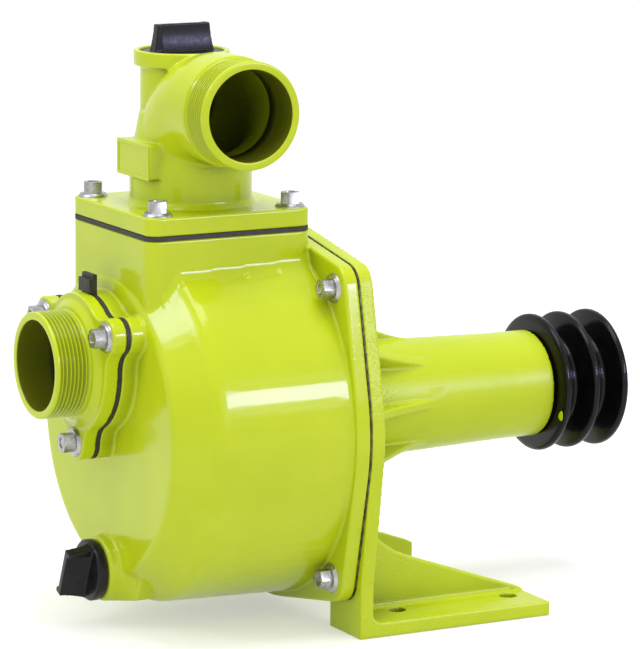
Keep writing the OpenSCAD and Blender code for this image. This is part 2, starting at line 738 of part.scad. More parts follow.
module suction_flange() {
  color(lime) framed() difference() {
    union() {
      along_x(suction_front_x, suction_seat_x) translate([0, suction_z]) suction_outline();
      turned(z = suction_z) polygon([
        [0, suction_seat_x - 1], [suction_flange_r - 2.5, suction_front_x + bite],
        [spout_thread_r + 1.6, suction_thread_x], [spout_thread_r, suction_thread_x],
        [spout_thread_r, suction_mouth_x], [0, suction_mouth_x]]);
    }
    rod(suction_mouth_x - 1, 1 + suction_seat_x, spout_bore_r, z = suction_z);
    for (p = suction_bolts_at) {
      z = suction_z + p[1];
      rod(suction_front_x - 1, suction_seat_x + 1, bolt_hole_r, y = p[0], z = z, fn = small_fn);
      rod(suction_front_x - 10, suction_front_x, bolt_rim_d / 2 + 0.6, y = p[0], z = z, fn = small_fn);
    }
  }
}

module suction_bolts() {
  color(zinc) framed() for (p = suction_bolts_at)
    bolt_from_front(suction_front_x, p[0], suction_z + p[1], suction_shank_l);
}

// Check valve flap, hung at its top edge and closing against the suction flange.
module valve_flap() {
  color(rubber) framed() difference() {
    union() {
      rod(suction_seat_x, valve_x, flap_r, z = suction_z);
      translate([hinge_x - tongue_r, -tongue_w / 2, suction_z])
        cube([2 * tongue_r, tongue_w, hinge_z - suction_z]);
      translate([hinge_x, tongue_w / 2, hinge_z]) rotate([90, 0, 0])
        cylinder(h = tongue_w, r = tongue_r, $fn = small_fn);
    }
    rod(suction_seat_x - 1, valve_x + 1, rivet_r, z = suction_z, fn = small_fn);
  }
}

rivet_r = 3;
weight_t = 4;
weight_r = 20;
flap_washer_r = 15;
flap_washer_t = 2;

module flap_weight() {
  color(iron) framed() difference() {
    rod(valve_x, valve_x + weight_t, weight_r, z = suction_z, fn = small_fn);
    rod(valve_x - 1, valve_x + weight_t + 1, rivet_r + bolt_gap, z = suction_z, fn = small_fn);
  }
}

module flap_washer() {
  front_x = suction_seat_x - flap_washer_t;
  color(zinc) framed() difference() {
    rod(front_x, suction_seat_x, flap_washer_r, z = suction_z, fn = small_fn);
    rod(front_x - 1, suction_seat_x + 1, rivet_r + bolt_gap, z = suction_z, fn = small_fn);
  }
}

module flap_rivet() {
  head_t = 2;
  head_r = rivet_r * 1.8;
  front_x = suction_seat_x - flap_washer_t;
  back_x = valve_x + weight_t;
  color(zinc) framed() {
    rod(front_x - bite, back_x + bite, rivet_r - 0.05, z = suction_z, fn = small_fn);
    rod(front_x - head_t, front_x, head_r, z = suction_z, fn = small_fn);
    rod(back_x, back_x + head_t, head_r, z = suction_z, fn = small_fn);
  }
}

// Volute inside the casing

seal_head_l = 16;
seal_face_x = -spigot_h;
impeller_back_x = seal_face_x - seal_head_l;
shroud_t = 4;
blade_tip_x = impeller_back_x - shroud_t - blade_h;
channel_front_x = blade_tip_x - blade_gap;
volute_front_x = channel_front_x - volute_wall;
chamber_end_x = volute_front_x - eye_gap - volute_wall;
spiral_r0 = impeller_r + spiral_gap;
spiral_r1 = opening_r - spiral_inset;
rim_t = 6;
throat_w = 18;
throat_h = round(sqrt(pow(opening_r - 1.6, 2) - pow(spiral_r1 + volute_wall, 2)) - volute_wall);
volute_screw_r = 3;
volute_lug_r = 7;
volute_screw_at_r = opening_r - volute_lug_r - 2;
volute_screws_at = [for (a = [75, 165, 250]) volute_screw_at_r * [cos(a), sin(a)]];

// Flow channel: a spiral that opens into an upright throat.
module channel_outline() {
  polygon([for (a = [0:6:360])
    (spiral_r0 + (spiral_r1 - spiral_r0) * a / 360) * [cos(a), sin(a)]]);
  translate([spiral_r1 - throat_w, 0]) square([throat_w, throat_h]);
}

module volute() {
  eye_end_x = chamber_end_x + 0.5;
  lug_root_r = 18;
  color(iron) framed() difference() {
    union() {
      along_x(volute_front_x, 0) translate([0, shaft_h])
        offset(r = volute_wall, $fn = small_fn) channel_outline();
      rod(eye_end_x, volute_front_x + 1, eye_r + volute_wall);
      for (p = volute_screws_at) hull() {
        rod(-rim_t, 0, volute_lug_r, y = p[0], z = shaft_h + p[1], fn = hull_fn);
        rod(-rim_t, 0, lug_root_r, y = p[0] * 0.62, z = shaft_h + p[1] * 0.62, fn = hull_fn);
      }
    }
    along_x(channel_front_x, -rim_t) translate([0, shaft_h]) channel_outline();
    along_x(channel_front_x, -rim_t)
      translate([spiral_r1 - throat_w, shaft_h + throat_h - 5]) square([throat_w, 20]);
    rod(-rim_t - 1, 1, spigot_r + 0.1);
    rod(eye_end_x - 1, channel_front_x + 1, eye_r);
    translate([o_ring_x, 0, 0]) turned() translate([eye_r + volute_wall - 2.2, 0]) square([4, 3.4]);
    for (p = volute_screws_at)
      rod(-rim_t - 1, 1, volute_screw_r + bolt_gap, y = p[0], z = shaft_h + p[1], fn = small_fn);
  }
}

o_ring_x = chamber_end_x + 0.9;

module volute_o_ring() {
  color(rubber) framed() translate([o_ring_x + 1.7, 0, 0]) turned()
    translate([eye_r + volute_wall - 1.1, 0]) circle(1.08, $fn = small_fn);
}

module volute_screws() {
  shank_l = rim_t + plate_t - 2;
  color(zinc) framed() for (p = volute_screws_at)
    translate([-rim_t, p[0], shaft_h + p[1]]) rotate([0, -90, 0]) difference() {
      union() {
        cylinder(h = 5, r = volute_screw_r * 1.6, $fn = small_fn);
        translate([0, 0, -shank_l]) cylinder(h = shank_l + bite, r = volute_screw_r, $fn = small_fn);
      }
      translate([0, 0, 2]) cylinder(h = 4, r = volute_screw_r * 0.96, $fn = 6);
    }
}

// Shaft seal

seat_r = seat_pocket_r - 3;

module seal_seat() {
  color([0.85, 0.84, 0.80]) framed() difference() {
    rod(seal_face_x + 0.3, seat_pocket_x - 2, seat_r);
    rod(seal_face_x - 1, seat_pocket_x, seal_shaft_d / 2 + 1);
  }
}

module seal_seat_cup() {
  color(rubber) framed() difference() {
    rod(seal_face_x + 1.5, seat_pocket_x, seat_pocket_r - fit_gap);
    rod(seal_face_x, seat_pocket_x - 2, seat_r + fit_gap);
    rod(seal_face_x, seat_pocket_x + 1, seal_shaft_d / 2 + 3);
  }
}

seal_carbon_t = 4;

module seal_head() {
  color(plastic) framed() difference() {
    union() {
      rod(seal_face_x - seal_carbon_t, seal_face_x, seat_r - 2);
      rod(seal_face_x - seal_carbon_t - 3, seal_face_x - seal_carbon_t, seat_r - 0.5);
    }
    rod(impeller_back_x, seal_face_x + 1, seal_shaft_d / 2 + fit_gap);
  }
}

// Coil spring that presses the seal head on its seat.
module seal_spring() {
  wire_r = 0.8;
  coil_r = seal_shaft_d / 2 + 2;
  turns = 4;
  steps = 20;
  sides = 6;
  x0 = impeller_back_x + wire_r + 0.1;
  x1 = seal_face_x - seal_carbon_t - 3 - wire_r - 0.1;
  count = turns * steps;
  rings = [for (i = [0:count])
    let (a = i * 360 / steps, x = x0 + (x1 - x0) * i / count)
    [for (k = [0:sides - 1])
      let (b = k * 360 / sides, r = coil_r + wire_r * cos(b))
      [x + wire_r * sin(b), r * cos(a), r * sin(a)]]];
  color(steel) framed() translate([0, 0, shaft_h]) polyhedron(
    points = [for (ring = rings) each ring],
    faces = concat(
      [[for (k = [0:sides - 1]) k]],
      [for (i = [0:count - 1], k = [0:sides - 1])
        [i * sides + k, (i + 1) * sides + k, (i + 1) * sides + (k + 1) % sides, i * sides + (k + 1) % sides]],
      [[for (k = [sides - 1:-1:0]) count * sides + k]]));
}

// Impeller: a back plate with backward-curved blades

blade_root_r = 17;
key_w = 5;

// One blade outline along a logarithmic spiral, from root to rim.
function blade_point(s, offset_t) =
  let (
    sweep = 75,
    r = blade_root_r * pow(impeller_r / blade_root_r, s),
    a = -sweep * s
  )
  r * [cos(a), sin(a)] + offset_t / 2 * unit([cos(a - 55), sin(a - 55)]);

module blade() {
  n = 10;
  polygon(concat(
    [for (i = [0:n]) blade_point(i / n, blade_t)],
    [for (i = [n:-1:0]) blade_point(i / n, -blade_t)]));
}

module impeller() {
  color(bronze) framed() difference() {
    union() {
      rod(impeller_back_x - shroud_t, impeller_back_x, impeller_r);
      rod(blade_tip_x + 4, impeller_back_x, blade_root_r - 3);
      intersection() {
        union() for (i = [0:blade_n - 1])
          along_x(blade_tip_x, impeller_back_x - shroud_t + bite) translate([0, shaft_h])
            rotate(i * 360 / blade_n) blade();
        rod(blade_tip_x - 1, impeller_back_x, impeller_r);
      }
      turned() polygon([
        [0, impeller_back_x - shroud_t + bite], [blade_root_r + 4, impeller_back_x - shroud_t + bite],
        [blade_root_r - 3, blade_tip_x + 7], [0, blade_tip_x + 7]]);
    }
    rod(blade_tip_x, impeller_back_x + 1, nose_d / 2 + fit_gap);
    translate([blade_tip_x + 1, -key_w / 2 - fit_gap, shaft_h])
      cube([blade_h + shroud_t + 2, key_w + 2 * fit_gap, nose_d / 2 + 2.5]);
  }
}

module impeller_key() {
  color(steel) framed() translate([blade_tip_x + 6, -key_w / 2, shaft_h + nose_d / 2 - 2.9])
    cube([blade_h + shroud_t - 7, key_w, 5]);
}

nut_washer_t = 2;

module impeller_washer() {
  color(zinc) framed() difference() {
    rod(blade_tip_x + 4 - nut_washer_t, blade_tip_x + 4, 12.5, fn = small_fn);
    rod(blade_tip_x, blade_tip_x + 5, nose_thread_d / 2 + 0.2, fn = small_fn);
  }
}

module impeller_nut() {
  nut_af = 21;
  nut_x = blade_tip_x + 4 - nut_washer_t;
  color(bronze) framed() difference() {
    union() {
      translate([nut_x - 9, 0, shaft_h]) rotate([0, 90, 0]) cylinder(h = 9, d = nut_af / cos(30), $fn = 6);
      translate([nut_x - 12, 0, shaft_h]) rotate([0, 90, 0])
        cylinder(h = 3.5, r1 = nut_af / 2 - 4, r2 = nut_af / 2 - 1, $fn = small_fn);
    }
    rod(nut_x - 8, nut_x + 8, nose_thread_d / 2 + 0.1, fn = small_fn);
    rod(nut_x, nut_x + 12, nut_af, fn = small_fn);
  }
}

// Shaft and bearings

front_bearing_end = front_bearing_x + bearing_w;
rear_bearing_end = rear_bearing_x + bearing_w;
rim_w = groove_pitch - groove_w + 1.4;
pulley_end_x = pulley_x + 2 * groove_pitch + rim_w + 2;
journal_r = journal_d / 2;
drive_key_w = 6;
chamfer = 1;

module shaft() {
  nut_x = blade_tip_x + 4 - nut_washer_t;
  end_x = pulley_end_x - 2;
  color(steel) framed() difference() {
    turned() polygon([
      [0, nut_x - 7.5], [nose_thread_d / 2 - chamfer, nut_x - 7.5],
      [nose_thread_d / 2, nut_x - 7.5 + chamfer],
      [nose_thread_d / 2, blade_tip_x + 6], [nose_d / 2, blade_tip_x + 6],
      [nose_d / 2, impeller_back_x], [seal_shaft_d / 2, impeller_back_x],
      [seal_shaft_d / 2, front_bearing_x - 2], [journal_r, front_bearing_x - 2],
      [journal_r, front_bearing_end], [journal_r + 2.5, front_bearing_end],
      [journal_r + 2.5, rear_bearing_x], [journal_r, rear_bearing_x],
      [journal_r, pulley_x - 0.2], [drive_d / 2, pulley_x - 0.2],
      [drive_d / 2, end_x - chamfer], [drive_d / 2 - chamfer, end_x], [0, end_x]]);
    translate([blade_tip_x + 6, -key_w / 2 - fit_gap, shaft_h + nose_d / 2 - 3])
      cube([blade_h + shroud_t - 7, key_w + 2 * fit_gap, 5]);
    translate([pulley_x + 4, -drive_key_w / 2 - fit_gap, shaft_h + drive_d / 2 - 3.5])
      cube([pulley_key_l, drive_key_w + 2 * fit_gap, 6]);
    rod(end_x - end_bolt_l - 2, end_x + 1, bolt_d / 2 + bolt_gap, fn = small_fn);
  }
}

pulley_key_l = 32;
end_bolt_l = 20;

// Ball track: a groove half way between the inner and outer ring.
pitch_r = (bearing_od / 2 + journal_r) / 2;
ring_h = (bearing_od / 2 - journal_r) * 0.29;
track_r = ball_d / 2 + run_gap;

module ball_track(x) {
  turned() translate([pitch_r, x + bearing_w / 2]) circle(track_r, $fn = small_fn);
}

module outer_ring(x) {
  difference() {
    rod(x, x + bearing_w, bearing_od / 2);
    rod(x - 1, x + bearing_w + 1, bearing_od / 2 - ring_h);
    ball_track(x);
  }
}

module inner_ring(x) {
  difference() {
    rod(x, x + bearing_w, journal_r + ring_h);
    rod(x - 1, x + bearing_w + 1, journal_r + fit_gap);
    ball_track(x);
  }
}

module balls(x, r) {
  for (i = [0:ball_n - 1])
    translate([x + bearing_w / 2, pitch_r * cos(i * 360 / ball_n), shaft_h + pitch_r * sin(i * 360 / ball_n)])
      sphere(r, $fn = small_fn);
}

module cage(x) {
  cage_t = 2.2;
  cage_w = 10;
  difference() {
    rod(x + (bearing_w - cage_w) / 2, x + (bearing_w + cage_w) / 2, pitch_r + cage_t / 2);
    rod(x, x + bearing_w, pitch_r - cage_t / 2);
    for (i = [0:ball_n - 1])
      translate([x + bearing_w / 2, 0, shaft_h]) rotate([90 - i * 360 / ball_n, 0, 0]) rotate([180, 0, 0])
        cylinder(h = pitch_r + cage_t, r = ball_d / 2 + fit_gap, $fn = small_fn);
  }
}

module front_bearing_outer() { color(steel) framed() outer_ring(front_bearing_x); }
module rear_bearing_outer() { color(steel) framed() outer_ring(rear_bearing_x); }
module front_bearing_inner() { color(steel) framed() inner_ring(front_bearing_x); }
module rear_bearing_inner() { color(steel) framed() inner_ring(rear_bearing_x); }
module front_bearing_balls() { color(steel) framed() balls(front_bearing_x, ball_d / 2); }
module rear_bearing_balls() { color(steel) framed() balls(rear_bearing_x, ball_d / 2); }
module front_bearing_cage() { color(bronze) framed() cage(front_bearing_x); }
module rear_bearing_cage() { color(bronze) framed() cage(rear_bearing_x); }

module bearing_circlip() {
  open_w = 12;
  color(steel) framed() difference() {
    rod(rear_bearing_end + 0.05, rear_bearing_end + circlip_t - 0.05, bearing_bore_r + 1.2);
    rod(rear_bearing_end - 1, rear_bearing_end + circlip_t + 1, bearing_od / 2 - 2.6);
    translate([rear_bearing_end - 1, -open_w / 2, shaft_h - bearing_od])
      cube([circlip_t + 2, open_w, bearing_od]);
  }
}

// Rotary shaft seal: a ring with a lip that runs close to the shaft.
module oil_seal(x, w, outer_r, inner_r) {
  lip = 1.5;
  turned() polygon([
    [outer_r, x], [outer_r, x + w], [outer_r - 2, x + w], [outer_r - 2, x + lip],
    [inner_r + 3, x + lip], [inner_r + 1.6, x + w - 1], [inner_r + 0.06, x + w - 2],
    [inner_r + 0.06, x + w - 2.4], [inner_r + 1, x + lip], [inner_r + 1, x]]);
}

module front_oil_seal() {
  color(rubber) framed() oil_seal(front_seal_x, front_seal_w, front_seal_r, seal_shaft_d / 2);
}

module rear_oil_seal() {
  color(rubber) framed() oil_seal(tube_end_x - rear_seal_w, rear_seal_w, bearing_od / 2, journal_r);
}

module slinger() {
  slinger_x = (plate_t + 2 + front_seal_x) / 2 - 1.5;
  color(rubber) framed() difference() {
    rod(slinger_x, slinger_x + 3, splash_r - 2);
    rod(slinger_x - 1, slinger_x + 4, seal_shaft_d / 2 + fit_gap);
  }
}

// Pulley

pulley_r = pulley_d / 2;
first_rim_x = pulley_x + 1;
hub_r = drive_d / 2 + hub_wall;
web_x = first_rim_x + groove_pitch + rim_w / 2 - pulley_web_t / 2;
face_r = pulley_r - groove_depth;
rim_in_r = face_r - pulley_rim_wall;

module pulley() {
  last_x = first_rim_x + 2 * groove_pitch + rim_w;
  floor_w = groove_w - 2 * groove_depth * tan(groove_angle / 2);
  half_crest = groove_land / 2;
  soft_r = 0.5;
  soft_x = 0.9;
  color(plastic) framed() difference() {
    union() {
      turned() polygon(concat(
        [[0, pulley_x], [face_r, pulley_x], [pulley_r - half_crest - 1, first_rim_x]],
        [for (g = [0:2])
          let (crest_x = first_rim_x + rim_w / 2 + g * groove_pitch, floor_x = crest_x + groove_pitch / 2)
          each concat(
            [[pulley_r - soft_r, crest_x - half_crest], [pulley_r, crest_x - half_crest + soft_x],
              [pulley_r, crest_x + half_crest - soft_x], [pulley_r - soft_r, crest_x + half_crest]],
            g == 2 ? [] : [[pulley_r - groove_depth, floor_x - floor_w / 2],
              [pulley_r - groove_depth, floor_x + floor_w / 2]])],
        [[face_r, last_x], [0, last_x]]));
      rod(pulley_x + 0.1, pulley_end_x - 1, hub_r);
    }
    // The hollows on both sides of the web, around the hub
    difference() {
      union() {
        rod(pulley_x - 1, web_x, rim_in_r);
        rod(web_x + pulley_web_t, last_x + 5, rim_in_r);
      }
      rod(pulley_x, pulley_end_x - 1, hub_r);
    }
    rod(pulley_x - 1, pulley_end_x + 1, drive_d / 2 + fit_gap);
    translate([pulley_x - 1, -drive_key_w / 2 - fit_gap, shaft_h])
      cube([pulley_end_x - pulley_x + 2, drive_key_w + 2 * fit_gap, drive_d / 2 + 2.8]);
  }
}

module pulley_key() {
  color(steel) framed() translate([pulley_x + 4, -drive_key_w / 2, shaft_h + drive_d / 2 - 3.4])
    cube([pulley_key_l, drive_key_w, 6]);
}

end_washer_t = 3;

module pulley_washer() {
  color(zinc) framed() difference() {
    rod(pulley_end_x - 1, pulley_end_x - 1 + end_washer_t, 15, fn = small_fn);
    rod(pulley_end_x - 2, pulley_end_x + end_washer_t, bolt_d / 2 + 0.3, fn = small_fn);
  }
}

module pulley_bolt() {
  color(zinc) framed() translate([pulley_end_x - 1 + end_washer_t, 0, shaft_h]) rotate([0, 90, 0])
    flange_bolt(end_washer_t + end_bolt_l);
}

// Screw plugs

// Gripping wing: a tapered slab, scooped on both sides up to a rim at one end.
module plug_wing(half_l, h, rim_end) {
  scoop_r = 30;
  scoop_depth = 2.2;
  rim = 2.6;
  lean = 1.9;
  difference() {
    rotate([90, 0, 0]) translate([0, 0, -wing_t / 2]) linear_extrude(wing_t)
      polygon([[-half_l, -bite], [half_l, -bite], [half_l - lean, h], [lean - half_l, h]]);
    for (side = [-1, 1])
      translate([-side * rim_end * (rim + lean), side * (wing_t / 2 + scoop_r - scoop_depth), h * 0.75])
        rotate([0, 90, 0]) cylinder(h = 2 * half_l, r = scoop_r, center = true, $fn = round_fn);
  }
}

// A screw plug along +Z with the underside of its head at z = 0.
module screw_plug(head_r, head_t, shank_r, wing_half, wing, rim_end) {
  cylinder(h = head_t - 1, r = head_r, $fn = round_fn);
  translate([0, 0, head_t - 1]) cylinder(h = 1, r1 = head_r, r2 = head_r - 1.2, $fn = round_fn);
  translate([0, 0, head_t]) plug_wing(wing_half, wing, rim_end);
  difference() {
    translate([0, 0, -plug_shank_l]) cylinder(h = plug_shank_l + bite, r = shank_r, $fn = round_fn);
    translate([0, 0, -plug_shank_l - 1]) cylinder(h = plug_shank_l, r = shank_r - 3.5, $fn = small_fn);
  }
}

prime_head_t = 3.4;
drain_head_t = 5;
drain_seal_t = 1.6;
plug_gap = 0.15;

module priming_plug_seal() {
  color(rubber) framed() translate([-neck_x, prime_y, prime_seat_z]) difference() {
    cylinder(h = prime_seal_t, r = prime_head_r - 1, $fn = round_fn);
    translate([0, 0, -1]) cylinder(h = prime_seal_t + 2, r = prime_thread_r + 0.4, $fn = round_fn);
  }
}

module priming_plug() {
  color(plastic) framed() translate([-neck_x, prime_y, prime_seat_z + prime_seal_t])
    screw_plug(prime_head_r, prime_head_t, prime_thread_r - plug_gap, prime_head_r - 4.6, wing_h, 1);
}

module drain_plug_seal() {
  color(rubber) framed() difference() {
    rod(drain_face_x - drain_seal_t, drain_face_x, drain_head_r - 1.5, z = drain_z);
    rod(drain_face_x - 5, drain_face_x + 1, drain_thread_r + 0.4, z = drain_z);
  }
}

module drain_plug() {
  wing_turn = -22;
  color(plastic) framed() translate([drain_face_x - drain_seal_t, 0, drain_z])
    rotate([0, -90, 0]) rotate([0, 0, wing_turn])
      screw_plug(drain_head_r, drain_head_t, drain_thread_r - plug_gap, drain_head_r - 1, wing_h - 1, -1);
}

casing();
joint_gasket();
joint_bolts();
bearing_bracket();
discharge_gasket();
discharge_elbow();
discharge_bolts();
valve_gasket();
suction_flange();
suction_bolts();
volute();
volute_o_ring();
volute_screws();
seal_seat();
seal_seat_cup();
front_oil_seal();
rear_oil_seal();
front_bearing_outer();
rear_bearing_outer();
bearing_circlip();
shaft();
impeller();
impeller_key();
impeller_nut();
impeller_washer();
seal_head();
seal_spring();
slinger();
front_bearing_inner();
rear_bearing_inner();
pulley();
pulley_key();
pulley_washer();
pulley_bolt();
front_bearing_balls();
front_bearing_cage();
rear_bearing_balls();
rear_bearing_cage();
valve_flap();
flap_weight();
flap_washer();
flap_rivet();
priming_plug_seal();
priming_plug();
drain_plug_seal();
drain_plug();
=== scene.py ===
"""Looks of a belt-driven pump: soft castings, pipe threads, paint, zinc, rubber and plastic."""

import json
import math

import bmesh
import bpy
import numpy as np
from mathutils import Matrix, Vector

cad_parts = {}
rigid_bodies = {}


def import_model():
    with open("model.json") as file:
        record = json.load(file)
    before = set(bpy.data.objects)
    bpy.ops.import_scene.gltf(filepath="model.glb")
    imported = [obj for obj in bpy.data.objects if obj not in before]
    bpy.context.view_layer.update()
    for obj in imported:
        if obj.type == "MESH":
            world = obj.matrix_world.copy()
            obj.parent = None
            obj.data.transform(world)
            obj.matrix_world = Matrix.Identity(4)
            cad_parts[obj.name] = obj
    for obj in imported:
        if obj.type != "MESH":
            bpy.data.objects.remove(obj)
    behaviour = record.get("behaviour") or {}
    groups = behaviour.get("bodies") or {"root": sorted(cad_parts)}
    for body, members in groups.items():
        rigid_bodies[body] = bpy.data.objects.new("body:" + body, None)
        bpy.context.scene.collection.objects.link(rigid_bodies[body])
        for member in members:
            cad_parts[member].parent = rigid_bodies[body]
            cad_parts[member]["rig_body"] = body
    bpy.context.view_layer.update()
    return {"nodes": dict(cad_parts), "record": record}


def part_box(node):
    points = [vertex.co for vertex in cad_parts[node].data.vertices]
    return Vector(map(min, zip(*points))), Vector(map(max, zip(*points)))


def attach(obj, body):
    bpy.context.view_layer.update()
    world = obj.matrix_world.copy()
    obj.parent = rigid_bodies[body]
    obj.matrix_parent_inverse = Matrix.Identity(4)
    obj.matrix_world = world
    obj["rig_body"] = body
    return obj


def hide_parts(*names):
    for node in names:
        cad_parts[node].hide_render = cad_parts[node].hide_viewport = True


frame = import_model()

MM = 0.001
scene = bpy.context.scene
scene.view_settings.view_transform = "Standard"

# Sizes read from the frame

BOX = {name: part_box(name) for name in frame["nodes"]}
MOUNTS = {mount["name"]: mount for mount in frame["record"]["mounts"]}
SLOT_OF = {part["node"]: part["material_slot"] for part in frame["record"]["subparts"]}


def middle(node):
    low, high = BOX[node]
    return (low + high) / 2


SHAFT_Z = middle("shaft").z
JOINT_X = BOX["joint_gasket"][1].x
SUCTION = Vector(MOUNTS["suction_thread"]["pos_m"])
OUTLET = Vector(MOUNTS["outlet_thread"]["pos_m"])
SUCTION_MOUTH = BOX["suction_flange"][0].x
OUTLET_MOUTH = BOX["discharge_elbow"][0].y
THREAD_R = MOUNTS["suction_thread"]["dims"]["r_mm"] * MM
THREAD_L = MOUNTS["suction_thread"]["dims"]["length_mm"] * MM

# Sizes of what the scene adds

CAST_VOXEL = 0.8 * MM
FLANGE_VOXEL = 0.7 * MM
PLUG_VOXEL = 0.45 * MM
BOLT_EDGE = 0.35 * MM

THREAD_PITCH = 2.309 * MM
THREAD_DEPTH = 1.48 * MM
THREAD_FLATNESS = 0.6
THREAD_RUN_IN = 1.2 * THREAD_PITCH
THREAD_RUN_OUT = 0.6 * THREAD_PITCH
PLAIN_MOUTH = 1.6 * MM
UNSHADED_MOUTH = 2.0 * MM
MOUTH_CHAMFER = 1.1 * MM
LIP_R = 1.0 * MM
BORE_R = 25.2 * MM
BORE_EDGE = 0.2 * MM
SPOUT_OVERLAP = 1.0 * MM
SLEEVE_REACH = 6.0 * MM
SLEEVE_PROUD = 0.25 * MM
CUT_PAST_MOUTH = 2.0 * MM
CUT_CLEARANCE = 1.0 * MM

PAD_ABOVE_GASKET = 20.0 * MM
PAD_FACE_DEPTH = 0.3 * MM
PAD_RIM_WIDTH = 2.2 * MM
PAD_RIM_PROUD = 0.55 * MM
PAD_RIM_SUNK = 0.4 * MM
PAD_RIM_EDGE = 0.35 * MM

FLECK = Vector((94.3, -34.6, 100.0)) * MM
FLECK_THICKNESS = 0.45 * MM
FLECK_OUTWARD = 2.4 * MM
FLECK_SIDEWAYS = 3.0 * MM
FLECK_LOBES = 0.12

ROUGH_END = JOINT_X + 45.0 * MM
ROUGH_FADE = 30.0 * MM
# How far the ambient occlusion looks when it paints shade into hollows.
HOLLOW_REACH = 60.0 * MM


# Camera at the photograph's angle

CAMERA_AZIMUTH = math.radians(-28.598)
CAMERA_ELEVATION = math.radians(10.3515)
CAMERA_ROLL = math.radians(0.48675)
CAMERA_DISTANCE = 2.28504
CAMERA_TARGET = Vector((-0.0469025, 0.0, 0.15975))
FOCAL_PIXELS = 4006.0
PHOTO_W, PHOTO_H = 640, 649
SENSOR = 36.0


def toward(azimuth, elevation):
    """Unit vector from the pump to a viewer. Azimuth 0 looks along +Y."""
    level = math.cos(elevation)
    return Vector((math.sin(azimuth) * level, -math.cos(azimuth) * level, math.sin(elevation)))


def make_camera():
    data = bpy.data.cameras.new("photo_camera")
    data.sensor_fit = "AUTO"
    data.sensor_width = SENSOR
    data.lens = FOCAL_PIXELS * SENSOR / max(PHOTO_W, PHOTO_H)
    data.clip_start, data.clip_end = 0.05, 60.0
    camera = bpy.data.objects.new("photo_camera", data)
    scene.collection.objects.link(camera)
    back = toward(CAMERA_AZIMUTH, CAMERA_ELEVATION)
    flat_right = Vector((math.cos(CAMERA_AZIMUTH), math.sin(CAMERA_AZIMUTH), 0))
    flat_up = back.cross(flat_right)
    right = math.cos(CAMERA_ROLL) * flat_right + math.sin(CAMERA_ROLL) * flat_up
    up = -math.sin(CAMERA_ROLL) * flat_right + math.cos(CAMERA_ROLL) * flat_up
    turn = Matrix((right, up, back)).transposed().to_4x4()
    camera.matrix_world = Matrix.Translation(CAMERA_TARGET + back * CAMERA_DISTANCE) @ turn
    scene.camera = camera


make_camera()


# Material building blocks

NOISE_LOW, NOISE_HIGH = 0.3, 0.7


